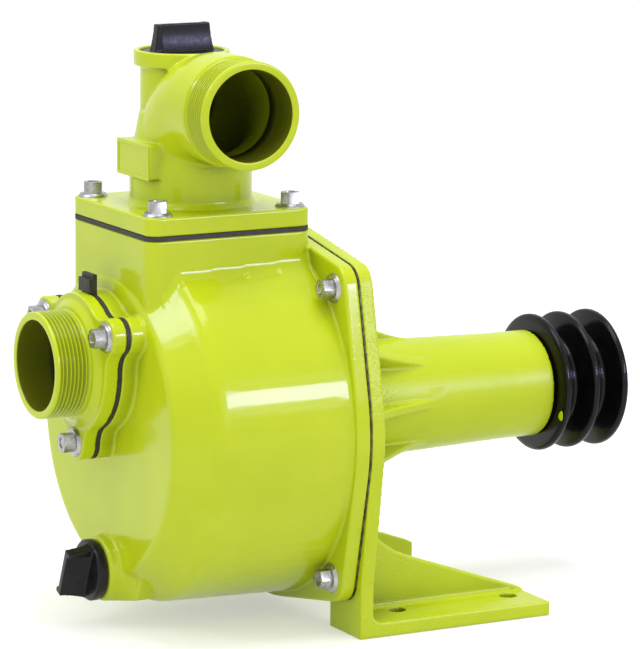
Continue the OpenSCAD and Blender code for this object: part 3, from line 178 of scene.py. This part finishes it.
class Nodes:
    """A material's node tree, with short calls for the nodes that these materials use."""

    def __init__(self, name):
        self.material = bpy.data.materials.new(name)
        self.material.use_nodes = True
        self.tree = self.material.node_tree
        self.shader = self.tree.nodes["Principled BSDF"]
        self.place = self.add("ShaderNodeTexCoord").outputs["Object"]

    def add(self, kind, **values):
        node = self.tree.nodes.new(kind)
        for key, value in values.items():
            setattr(node, key, value)
        return node

    def link(self, source, target):
        self.tree.links.new(source, target)

    def noise(self, scale, detail=3.0, roughness=0.5, stretch=(1, 1, 1)):
        spread = self.add("ShaderNodeMapping")
        spread.inputs["Scale"].default_value = stretch
        self.link(self.place, spread.inputs["Vector"])
        node = self.add("ShaderNodeTexNoise")
        node.inputs["Scale"].default_value = scale
        node.inputs["Detail"].default_value = detail
        node.inputs["Roughness"].default_value = roughness
        self.link(spread.outputs["Vector"], node.inputs["Vector"])
        return node.outputs["Fac"]

    def grains(self, scale):
        """0 in the middle of each grain, growing towards its edge."""
        node = self.add("ShaderNodeTexVoronoi")
        node.inputs["Scale"].default_value = scale
        self.link(self.place, node.inputs["Vector"])
        return node.outputs["Distance"]

    def span(self, source, low, high, to_low=0.0, to_high=1.0):
        node = self.add("ShaderNodeMapRange")
        node.inputs["From Min"].default_value = low
        node.inputs["From Max"].default_value = high
        node.inputs["To Min"].default_value = to_low
        node.inputs["To Max"].default_value = to_high
        self.link(source, node.inputs["Value"])
        return node.outputs["Result"]

    def math(self, operation, a, b):
        node = self.add("ShaderNodeMath", operation=operation)
        for socket, value in zip(node.inputs, (a, b)):
            if isinstance(value, (int, float)):
                socket.default_value = value
            else:
                self.link(value, socket)
        return node.outputs["Value"]

    def mix(self, factor, a, b):
        """a at factor 0 and b at factor 1. Each is a colour or a socket."""
        node = self.add("ShaderNodeMix", data_type="RGBA")
        self.link(factor, node.inputs["Factor"])
        for socket, value in ((node.inputs["A"], a), (node.inputs["B"], b)):
            if isinstance(value, tuple):
                socket.default_value = (*value, 1)
            else:
                self.link(value, socket)
        return node.outputs["Result"]

    def painted(self, name):
        """A value stored on the mesh's points."""
        return self.add("ShaderNodeAttribute", attribute_name=name).outputs["Fac"]

    def before(self, end, fade):
        """1 up to an X position, and 0 from fade beyond it."""
        split = self.add("ShaderNodeSeparateXYZ")
        self.link(self.place, split.inputs["Vector"])
        return self.span(split.outputs["X"], end, end + fade, 1.0, 0.0)

    def hollow(self, low, high):
        """0 deep inside a hollow, 1 on open faces: the weight of the shade painted into hollows."""
        node = self.add("ShaderNodeAmbientOcclusion", samples=6, only_local=True)
        node.inputs["Distance"].default_value = HOLLOW_REACH
        return self.span(node.outputs["AO"], low, high)

    def colour(self, source, dark, pale, low=0.0, high=1.0):
        """Colours the shader from dark to pale as the source goes from low to high."""
        self.wire(Base_Color=self.mix(self.span(source, low, high), dark, pale))

    def roughness(self, source, smooth, rough):
        self.wire(Roughness=self.span(source, NOISE_LOW, NOISE_HIGH, smooth, rough))

    def height(self, *parts):
        """Adds up (source, metres) parts into one bump on the shader."""
        total = None
        for source, metres in parts:
            step = self.math("MULTIPLY", source, metres)
            total = step if total is None else self.math("ADD", total, step)
        bump = self.add("ShaderNodeBump")
        bump.inputs["Strength"].default_value = 1.0
        bump.inputs["Distance"].default_value = 1.0
        self.link(total, bump.inputs["Height"])
        self.link(bump.outputs["Normal"], self.shader.inputs["Normal"])
        self.link(bump.outputs["Normal"], self.shader.inputs["Coat Normal"])

    def set(self, **values):
        for key, value in values.items():
            socket = self.shader.inputs[key.replace("_", " ")]
            socket.default_value = (*value, 1) if isinstance(value, tuple) else value

    def wire(self, **sources):
        for key, source in sources.items():
            self.link(source, self.shader.inputs[key.replace("_", " ")])


# Materials

LIME_DEEP = (0.530, 0.645, 0.006)
LIME_PALE = (0.580, 0.685, 0.014)
# The next three colours are painted shade: darker lime for hollows and crevices, for thread grooves and
# for spout bores.
LIME_PAINTED_SHADE = (0.060, 0.068, 0.003)
LIME_GROOVE_SHADE = (0.230, 0.285, 0.002)
BORE_PAINTED_SHADE = (0.130, 0.146, 0.007)


def lime_paint(name, peel, grain, speckle=0.0, spout=False):
    """Glossy enamel, with shade painted into its hollows, or into the thread grooves and bore of a spout.
    peel, grain and speckle are the heights of its ripples in metres.
    """
    nodes = Nodes(name)
    cloud = nodes.span(nodes.noise(28, 3), NOISE_LOW, NOISE_HIGH)
    paint = nodes.mix(cloud, LIME_DEEP, LIME_PALE)
    if spout:
        # Painted shade: thread grooves darken towards their bottom.
        paint = nodes.mix(nodes.painted("groove"), paint, LIME_GROOVE_SHADE)
        # Painted shade: the spout's bore is painted a dark olive where little light reaches.
        paint = nodes.mix(nodes.painted("bore"), paint, BORE_PAINTED_SHADE)
    else:
        # Painted shade: hollows, crevices and corners turn towards a darker lime as ambient occlusion
        # grows.
        paint = nodes.mix(nodes.hollow(0.24, 0.60), LIME_PAINTED_SHADE, paint)
    nodes.wire(Base_Color=paint)
    nodes.roughness(nodes.noise(160, 4), 0.30, 0.42)
    nodes.set(Coat_Weight=0.6, Coat_Roughness=0.34 if speckle else 0.12, Coat_IOR=1.5)
    nodes.set(Specular_IOR_Level=0.05)
    parts = [(nodes.noise(190, 2), peel), (nodes.noise(900, 3), grain)]
    if speckle:
        patches = nodes.span(nodes.noise(60, 2), 0.34, 0.52)
        patches = nodes.math("MULTIPLY", patches, nodes.before(ROUGH_END, ROUGH_FADE))
        specks = nodes.span(nodes.grains(760), 0.0, 0.40, 1.0, 0.0)
        parts.append((nodes.math("MULTIPLY", specks, patches), speckle))
    nodes.height(*parts)
    return nodes.material


def zinc_plate():
    nodes = Nodes("zinc_plate")
    nodes.colour(nodes.noise(240, 4), (0.32, 0.32, 0.31), (0.48, 0.48, 0.465), 0.35, 0.65)
    nodes.roughness(nodes.noise(700, 3), 0.22, 0.40)
    nodes.set(Metallic=1.0)
    nodes.height((nodes.noise(600, 3), 0.03 * MM), (nodes.noise(2600, 2), 0.012 * MM))
    return nodes.material


def ground_steel():
    nodes = Nodes("ground_steel")
    lines = nodes.noise(900, 3, 0.6, (3.0, 1, 1))
    nodes.colour(lines, (0.40, 0.41, 0.43), (0.60, 0.61, 0.62))
    nodes.roughness(lines, 0.18, 0.36)
    nodes.set(Metallic=1.0)
    nodes.height((lines, 0.01 * MM))
    return nodes.material


def rubber():
    nodes = Nodes("black_rubber")
    nodes.colour(nodes.noise(300, 4), (0.009, 0.009, 0.008), (0.030, 0.028, 0.022), NOISE_LOW, NOISE_HIGH)
    nodes.roughness(nodes.noise(800, 3), 0.45, 0.75)
    nodes.height((nodes.noise(700, 3), 0.10 * MM), (nodes.noise(2500, 2), 0.03 * MM))
    return nodes.material


def sprayed_rubber():
    """Rubber edge with a thin, broken film of lime paint."""
    nodes = Nodes("sprayed_rubber")
    nodes.colour(nodes.noise(260, 4), (0.020, 0.020, 0.010), (0.16, 0.19, 0.015), 0.42, 0.68)
    nodes.roughness(nodes.noise(800, 3), 0.45, 0.75)
    nodes.height((nodes.noise(700, 3), 0.06 * MM))
    return nodes.material


def black_plastic():
    nodes = Nodes("black_plastic")
    dark, pale = (0.0035, 0.0038, 0.0048), (0.008, 0.0085, 0.0105)
    nodes.colour(nodes.noise(120, 3), dark, pale, NOISE_LOW, NOISE_HIGH)
    nodes.roughness(nodes.noise(420, 3), 0.26, 0.40)
    nodes.set(Specular_IOR_Level=0.25)
    nodes.height((nodes.noise(260, 2), 0.05 * MM), (nodes.noise(1800, 2), 0.012 * MM))
    return nodes.material


def black_paint():
    nodes = Nodes("black_paint")
    dark, pale = (0.0020, 0.0020, 0.0024), (0.0045, 0.0045, 0.0052)
    nodes.colour(nodes.noise(90, 3), dark, pale, NOISE_LOW, NOISE_HIGH)
    nodes.roughness(nodes.noise(380, 3), 0.14, 0.24)
    nodes.set(Specular_IOR_Level=0.20)
    nodes.height((nodes.noise(210, 2), 0.05 * MM), (nodes.noise(1200, 3), 0.012 * MM))
    return nodes.material


def cast_iron():
    nodes = Nodes("cast_iron")
    nodes.colour(nodes.noise(150, 4), (0.10, 0.10, 0.10), (0.22, 0.21, 0.20))
    nodes.roughness(nodes.noise(500, 3), 0.55, 0.80)
    nodes.set(Metallic=0.6)
    nodes.height((nodes.noise(420, 4), 0.30 * MM), (nodes.grains(900), 0.08 * MM))
    return nodes.material


def bronze():
    nodes = Nodes("bronze")
    nodes.colour(nodes.noise(180, 4), (0.42, 0.26, 0.10), (0.62, 0.43, 0.20))
    nodes.roughness(nodes.noise(500, 3), 0.25, 0.45)
    nodes.set(Metallic=1.0)
    nodes.height((nodes.noise(600, 3), 0.08 * MM))
    return nodes.material


def ceramic():
    nodes = Nodes("ceramic")
    nodes.colour(nodes.noise(200, 2), (0.72, 0.70, 0.62), (0.84, 0.82, 0.76))
    nodes.roughness(nodes.noise(600, 2), 0.10, 0.22)
    nodes.height((nodes.noise(900, 2), 0.01 * MM))
    return nodes.material


def carbon():
    nodes = Nodes("carbon")
    nodes.colour(nodes.noise(400, 3), (0.02, 0.02, 0.02), (0.05, 0.05, 0.05))
    nodes.roughness(nodes.noise(700, 3), 0.35, 0.55)
    nodes.height((nodes.noise(900, 2), 0.02 * MM))
    return nodes.material


SMOOTH_LIME = lime_paint("lime_enamel", 0.035 * MM, 0.010 * MM)
ROUGH_LIME = lime_paint("lime_enamel_on_sand_cast", 0.04 * MM, 0.020 * MM, speckle=0.20 * MM)
SPOUT_LIME = lime_paint("lime_enamel_on_threads", 0.035 * MM, 0.010 * MM, spout=True)
MATERIALS = {
    "lime_paint": SMOOTH_LIME,
    "black_paint": black_paint(),
    "zinc": zinc_plate(),
    "steel": ground_steel(),
    "rubber": rubber(),
    "black_plastic": black_plastic(),
    "iron": cast_iron(),
    "bronze": bronze(),
    "ceramic": ceramic(),
    "carbon": carbon(),
}

for name, node in frame["nodes"].items():
    node.data.materials.clear()
    node.data.materials.append(MATERIALS[SLOT_OF[name]])

frame["nodes"]["joint_gasket"].data.materials[0] = sprayed_rubber()


# Mesh building blocks

def paint_smooth(mesh, material):
    mesh.materials.clear()
    mesh.materials.append(material)
    mesh.polygons.foreach_set("use_smooth", np.ones(len(mesh.polygons), bool))


def new_object(name, mesh, material):
    obj = bpy.data.objects.new(name, mesh)
    scene.collection.objects.link(obj)
    paint_smooth(mesh, material)
    return obj


def mesh_from(shape, name):
    """Turns a bmesh into a mesh and frees it."""
    mesh = bpy.data.meshes.new(name)
    shape.to_mesh(mesh)
    shape.free()
    return mesh


def joined_copy(node):
    """The node's mesh with the seams between its faces closed."""
    mesh = frame["nodes"][node].data.copy()
    shape = bmesh.new()
    shape.from_mesh(mesh)
    bmesh.ops.remove_doubles(shape, verts=shape.verts, dist=0.002 * MM)
    shape.to_mesh(mesh)
    shape.free()
    mesh.update()
    return mesh


def applied(obj):
    """Bakes an object's modifiers into its mesh."""
    graph = bpy.context.evaluated_depsgraph_get()
    mesh = bpy.data.meshes.new_from_object(obj.evaluated_get(graph))
    obj.modifiers.clear()
    obj.data = mesh


def points_of(mesh):
    points = np.empty(len(mesh.vertices) * 3)
    mesh.vertices.foreach_get("co", points)
    return points.reshape(-1, 3)


def set_points(mesh, points):
    mesh.vertices.foreach_set("co", points.astype(np.float32).ravel())
    mesh.update()


def normals_of(mesh):
    normals = np.empty(len(mesh.vertices) * 3)
    mesh.vertices.foreach_get("normal", normals)
    return normals.reshape(-1, 3)


def edges_of(mesh):
    pairs = np.empty(len(mesh.edges) * 2, np.int32)
    mesh.edges.foreach_get("vertices", pairs)
    return pairs.reshape(-1, 2)


def neighbour_mean(values, pairs, count):
    total = np.zeros_like(values)
    for k in range(values.shape[1]):
        total[:, k] += np.bincount(pairs[:, 0], values[pairs[:, 1], k], len(values))
        total[:, k] += np.bincount(pairs[:, 1], values[pairs[:, 0], k], len(values))
    return total / count[:, None]


FLAT_ANGLE = math.radians(5.0)
FAIR_ROUNDS = 40
PULL = 0.5
PUSH_BACK = 0.51


def fair(mesh, soften):
    """Softens all edges a little, then evens out the nearly flat parts without shrinking them."""
    points = points_of(mesh)
    pairs = edges_of(mesh)
    count = np.maximum(np.bincount(pairs.ravel(), minlength=len(points)), 1).astype(float)
    for _ in range(soften):
        points += PULL * (neighbour_mean(points, pairs, count) - points)
    set_points(mesh, points)
    normals = normals_of(mesh)
    turn = np.zeros(len(points))
    bend = 1 - np.einsum("ij,ij->i", normals[pairs[:, 0]], normals[pairs[:, 1]])
    np.maximum.at(turn, pairs[:, 0], bend)
    np.maximum.at(turn, pairs[:, 1], bend)
    limit = 1 - math.cos(FLAT_ANGLE)
    weight = np.clip(1.5 - turn / limit, 0, 1)[:, None]
    weight = np.minimum(weight, neighbour_mean(weight, pairs, count))
    for _ in range(FAIR_ROUNDS):
        points += PULL * weight * (neighbour_mean(points, pairs, count) - points)
        points -= PUSH_BACK * weight * (neighbour_mean(points, pairs, count) - points)
    set_points(mesh, points)


def drum(start, end, radius, centre, axis):
    """A closed cylinder from start to end along axis 0 or 1, to cut with."""
    shape = bmesh.new()
    depth = end - start
    bmesh.ops.create_cone(shape, cap_ends=True, segments=96, radius1=radius, radius2=radius, depth=depth)
    mesh = mesh_from(shape, "cutter")
    direction = Vector((0, 0, 0))
    direction[axis] = 1
    place = centre.copy()
    place[axis] = (start + end) / 2
    turn = direction.to_track_quat("Z", "Y").to_matrix().to_4x4()
    mesh.transform(Matrix.Translation(place) @ turn)
    obj = bpy.data.objects.new("cutter", mesh)
    scene.collection.objects.link(obj)
    return obj


def casting(node, name, voxel, material, soften, cut=None):
    """A soft-edged copy of a CAD node, as it comes out of the mould and the paint shop."""
    obj = new_object(name, joined_copy(node), material)
    if cut is not None:
        trim = obj.modifiers.new("trim", "BOOLEAN")
        trim.operation, trim.object, trim.solver = "DIFFERENCE", cut, "EXACT"
        applied(obj)
        bpy.data.objects.remove(cut)
    remesh = obj.modifiers.new("remesh", "REMESH")
    remesh.mode = "VOXEL"
    remesh.voxel_size = voxel * 1.0
    applied(obj)
    fair(obj.data, soften)
    paint_smooth(obj.data, material)
    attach(obj, frame["nodes"][node]["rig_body"])
    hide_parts(node)


def forged(node, name, material):
    """A copy of a CAD node with its sharp edges rounded over."""
    obj = new_object(name, joined_copy(node), material)
    bevel = obj.modifiers.new("edges", "BEVEL")
    bevel.width, bevel.segments = BOLT_EDGE, 2
    bevel.limit_method, bevel.angle_limit = "ANGLE", math.radians(28)
    bevel.harden_normals = True
    applied(obj)
    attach(obj, frame["nodes"][node]["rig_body"])
    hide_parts(node)


# Pipe threads

def thread_radius(along, turn):
    """Radius of the thread's outside at a distance along the spout, towards its mouth."""
    phase = (along / THREAD_PITCH + turn) % 1.0
    valley = (0.5 - 0.5 * math.cos(2 * math.pi * phase)) ** THREAD_FLATNESS
    run_in = min(1.0, max(0.0, along / THREAD_RUN_IN))
    run_out = min(1.0, max(0.0, (THREAD_L - PLAIN_MOUTH - along) / THREAD_RUN_OUT))
    radius = THREAD_R - THREAD_DEPTH * valley * run_in * run_out
    edge = THREAD_L - along
    if edge < MOUTH_CHAMFER:
        radius -= MOUTH_CHAMFER - math.sqrt(max(0.0, MOUTH_CHAMFER ** 2 - (MOUTH_CHAMFER - edge) ** 2))
    return radius


def bore_profile():
    """Radii and places from the rounded lip down the bore into the casting."""
    angles = [math.radians(degrees) for degrees in (0, 22.5, 45, 67.5, 90)]
    lip = [(BORE_R + LIP_R * (1 - math.sin(a)), THREAD_L - LIP_R * (1 - math.cos(a))) for a in angles]
    wall = [(BORE_R, THREAD_L * share) for share in (0.7, 0.4, 0.1)]
    return lip + wall + [(BORE_R - SLEEVE_PROUD, -SLEEVE_REACH)]


def threaded_spout(name, node, origin, outward):
    """The threaded end of a spout: helix outside, rounded lip, smooth bore."""
    turns = 160
    steps = int(THREAD_L / THREAD_PITCH * 11)
    outer = [-SPOUT_OVERLAP + (THREAD_L + SPOUT_OVERLAP) * i / steps for i in range(steps + 1)]
    inner = bore_profile()
    side = Vector((0, 0, 1))
    across = outward.cross(side)
    verts, faces, groove, bore = [], [], [], []
    rows = len(outer) + len(inner)
    for t in range(turns):
        angle = 2 * math.pi * t / turns
        spoke = side * math.cos(angle) + across * math.sin(angle)
        for along in outer:
            radius = thread_radius(along, t / turns)
            verts.append(origin + outward * along + spoke * radius)
            # Painted shade weight: darker towards the bottom of each thread groove.
            ridged = along < THREAD_L - UNSHADED_MOUTH
            groove.append(min(1.0, (THREAD_R - radius) / THREAD_DEPTH) if ridged else 0.0)
            bore.append(0.0)
        for radius, along in inner:
            verts.append(origin + outward * along + spoke * radius)
            groove.append(0.0)
            # Painted shade weight: the bore is painted dark where little light reaches.
            bore.append(1.0 if radius < BORE_R + BORE_EDGE else 0.0)
    for t in range(turns):
        here, there = t * rows, (t + 1) % turns * rows
        for i in range(rows):
            j = (i + 1) % rows
            faces.append((here + i, there + i, there + j, here + j))
    mesh = bpy.data.meshes.new(name)
    mesh.from_pydata(verts, [], faces)
    shape = bmesh.new()
    shape.from_mesh(mesh)
    bmesh.ops.recalc_face_normals(shape, faces=shape.faces)
    shape.to_mesh(mesh)
    shape.free()
    for label, values in (("groove", groove), ("bore", bore)):
        mesh.attributes.new(label, "FLOAT", "POINT").data.foreach_set("value", values)
    obj = new_object(name, mesh, SPOUT_LIME)
    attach(obj, frame["nodes"][node]["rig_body"])


# Castings, mouldings and bolts

def suction_flange():
    root = SUCTION_MOUTH + THREAD_L
    cut = drum(SUCTION_MOUTH - CUT_PAST_MOUTH, root, THREAD_R + CUT_CLEARANCE, SUCTION, axis=0)
    casting("suction_flange", "suction_flange_casting", FLANGE_VOXEL, SMOOTH_LIME, soften=2, cut=cut)
    origin = Vector((root, SUCTION.y, SUCTION.z))
    threaded_spout("suction_thread", "suction_flange", origin, Vector((-1, 0, 0)))


def discharge_elbow():
    root = OUTLET_MOUTH + THREAD_L
    cut = drum(OUTLET_MOUTH - CUT_PAST_MOUTH, root, THREAD_R + CUT_CLEARANCE, OUTLET, axis=1)
    casting("discharge_elbow", "discharge_elbow_casting", CAST_VOXEL, SMOOTH_LIME, soften=2, cut=cut)
    origin = Vector((OUTLET.x, root, OUTLET.z))
    threaded_spout("outlet_thread", "discharge_elbow", origin, Vector((0, -1, 0)))


casting("casing", "casing_casting", CAST_VOXEL, SMOOTH_LIME, soften=2)
casting("bearing_bracket", "bracket_casting", CAST_VOXEL, ROUGH_LIME, soften=1)
suction_flange()
discharge_elbow()
for plug in ("priming_plug", "drain_plug"):
    casting(plug, plug + "_moulding", PLUG_VOXEL, MATERIALS["black_plastic"], soften=2)
casting("pulley", "pulley_casting", CAST_VOXEL, MATERIALS["black_paint"], soften=2)
for bolts in ("joint_bolts", "discharge_bolts", "suction_bolts", "pulley_bolt"):
    forged(bolts, bolts + "_forged", MATERIALS["zinc"])


# Raised rim around the face of the elbow's bare pad

def pad_rim():
    points = points_of(joined_copy("discharge_elbow"))
    high = points[points[:, 2] > middle("discharge_gasket").z + PAD_ABOVE_GASKET]
    face_x = high[:, 0].min()
    face = high[high[:, 0] < face_x + PAD_FACE_DEPTH]
    (y0, z0), (y1, z1) = face[:, 1:].min(0), face[:, 1:].max(0)
    root, crest = face_x + PAD_RIM_SUNK, face_x - PAD_RIM_PROUD
    shape = bmesh.new()
    rings = []
    for x, inset in ((root, 0), (crest, 0), (crest, PAD_RIM_WIDTH), (root, PAD_RIM_WIDTH)):
        left, right = y0 + inset, y1 - inset
        low, top = z0 + inset, z1 - inset
        corners = ((left, low), (right, low), (right, top), (left, top))
        rings.append([shape.verts.new((x, y, z)) for y, z in corners])
    for k in range(4):
        here, there = rings[k], rings[(k + 1) % 4]
        for i in range(4):
            j = (i + 1) % 4
            shape.faces.new((here[i], here[j], there[j], there[i]))
    bmesh.ops.recalc_face_normals(shape, faces=shape.faces)
    rim = new_object("elbow_pad_rim", mesh_from(shape, "pad_rim"), SMOOTH_LIME)
    bevel = rim.modifiers.new("edges", "BEVEL")
    bevel.width, bevel.segments = PAD_RIM_EDGE, 3
    bevel.harden_normals = True
    applied(rim)
    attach(rim, frame["nodes"]["discharge_elbow"]["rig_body"])


pad_rim()


# Fleck of stray lime paint on the pulley's inner face, just below the tube's near side

def paint_fleck():
    shape = bmesh.new()
    bmesh.ops.create_icosphere(shape, subdivisions=3, radius=1.0)
    mesh = mesh_from(shape, "paint_fleck")
    outward = Vector((0, FLECK.y, FLECK.z - SHAFT_Z)).normalized()
    sideways = Vector((1, 0, 0)).cross(outward)
    ball = points_of(mesh)
    swell = 1 + FLECK_LOBES * np.sin(3 * np.arctan2(ball[:, 1], ball[:, 0]))
    points = np.outer(ball[:, 2] * FLECK_THICKNESS, (1, 0, 0))
    points += np.outer(ball[:, 0] * swell * FLECK_OUTWARD, outward)
    points += np.outer(ball[:, 1] * swell * FLECK_SIDEWAYS, sideways)
    set_points(mesh, points + np.array(FLECK))
    fleck = new_object("pulley_paint_fleck", mesh, SMOOTH_LIME)
    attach(fleck, frame["nodes"]["pulley"]["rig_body"])


paint_fleck()


# Floor, world and lamps

FLOOR_HALF = 14.0
FLOOR_DROP = 0.3 * MM
FLOOR_COLOUR = (0.72, 0.72, 0.72)
FLOOR_GLOW = 0.42
ROOM_LIGHT = 0.78
BACKGROUND_WHITE = 1.0
WHITE = (1, 1, 1, 1)
SHEEN_BLUE = (0.60, 0.57, 1.0)
HIGH_SHEEN_BLUE = (0.58, 0.55, 1.0)


def background_rays(tree):
    """1 for the camera, glossy and transmission rays, which show the background, and 0 for others."""
    path = tree.nodes.new("ShaderNodeLightPath")
    seen = path.outputs["Is Camera Ray"]
    for ray in ("Is Glossy Ray", "Is Transmission Ray"):
        either = tree.nodes.new("ShaderNodeMath")
        either.operation = "MAXIMUM"
        tree.links.new(seen, either.inputs[0])
        tree.links.new(path.outputs[ray], either.inputs[1])
        seen = either.outputs["Value"]
    return seen


def make_floor():
    mesh = bpy.data.meshes.new("floor")
    corners = [(FLOOR_HALF * x, FLOOR_HALF * y, 0) for x, y in ((-1, -1), (1, -1), (1, 1), (-1, 1))]
    mesh.from_pydata(corners, [], [(0, 1, 2, 3)])
    floor = bpy.data.objects.new("floor", mesh)
    scene.collection.objects.link(floor)
    floor.location.z = -FLOOR_DROP
    nodes = Nodes("floor_white")
    nodes.set(Base_Color=FLOOR_COLOUR, Roughness=0.9, Specular_IOR_Level=0.1)
    glow = nodes.add("ShaderNodeEmission")
    glow.inputs["Color"].default_value = WHITE
    glow.inputs["Strength"].default_value = FLOOR_GLOW
    both = nodes.add("ShaderNodeAddShader")
    pick = nodes.add("ShaderNodeMixShader")
    plain = nodes.shader.outputs["BSDF"]
    nodes.link(plain, both.inputs[0])
    nodes.link(glow.outputs["Emission"], both.inputs[1])
    nodes.link(background_rays(nodes.tree), pick.inputs["Fac"])
    nodes.link(plain, pick.inputs[1])
    nodes.link(both.outputs["Shader"], pick.inputs[2])
    nodes.link(pick.outputs["Shader"], nodes.tree.nodes["Material Output"].inputs["Surface"])
    mesh.materials.append(nodes.material)


def make_world():
    world = bpy.data.worlds.new("studio")
    scene.world = world
    world.use_nodes = True
    tree = world.node_tree
    tree.nodes.clear()
    pick = tree.nodes.new("ShaderNodeMixShader")
    tree.links.new(background_rays(tree), pick.inputs["Fac"])
    for socket, strength in ((pick.inputs[1], ROOM_LIGHT), (pick.inputs[2], BACKGROUND_WHITE)):
        light = tree.nodes.new("ShaderNodeBackground")
        light.inputs["Color"].default_value = WHITE
        light.inputs["Strength"].default_value = strength
        tree.links.new(light.outputs["Background"], socket)
    output = tree.nodes.new("ShaderNodeOutputWorld")
    tree.links.new(pick.outputs["Shader"], output.inputs["Surface"])


def softbox(name, azimuth, elevation, distance, width, height, power):
    """An area lamp that looks at the pump's middle from an azimuth and elevation."""
    data = bpy.data.lights.new(name, "AREA")
    data.shape = "RECTANGLE"
    data.size, data.size_y = width, height
    data.energy = power
    lamp = bpy.data.objects.new(name, data)
    scene.collection.objects.link(lamp)
    back = toward(math.radians(azimuth), math.radians(elevation))
    lamp.location = CAMERA_TARGET + back * distance
    lamp.rotation_mode = "QUATERNION"
    lamp.rotation_quaternion = back.to_track_quat("Z", "Y")
    return lamp


def sheen(name, azimuth, elevation, distance, width, height, power, tint):
    """A softbox that lights only the gloss, as a window's reflection in the paint does."""
    lamp = softbox(name, azimuth, elevation, distance, width, height, power)
    lamp.data.color = tint
    lamp.visible_diffuse = False


make_floor()
make_world()
sheen("window", 28, 17, 2.2, 0.78, 0.36, 22, SHEEN_BLUE)
sheen("high_window", -98, 44, 2.2, 1.1, 0.42, 15, HIGH_SHEEN_BLUE)
softbox("left", -85, 46, 2.4, 1.1, 0.9, 7)
softbox("top", 10, 84, 2.4, 1.4, 1.4, 30)
softbox("front", 5, 14, 2.4, 1.2, 0.9, 4)
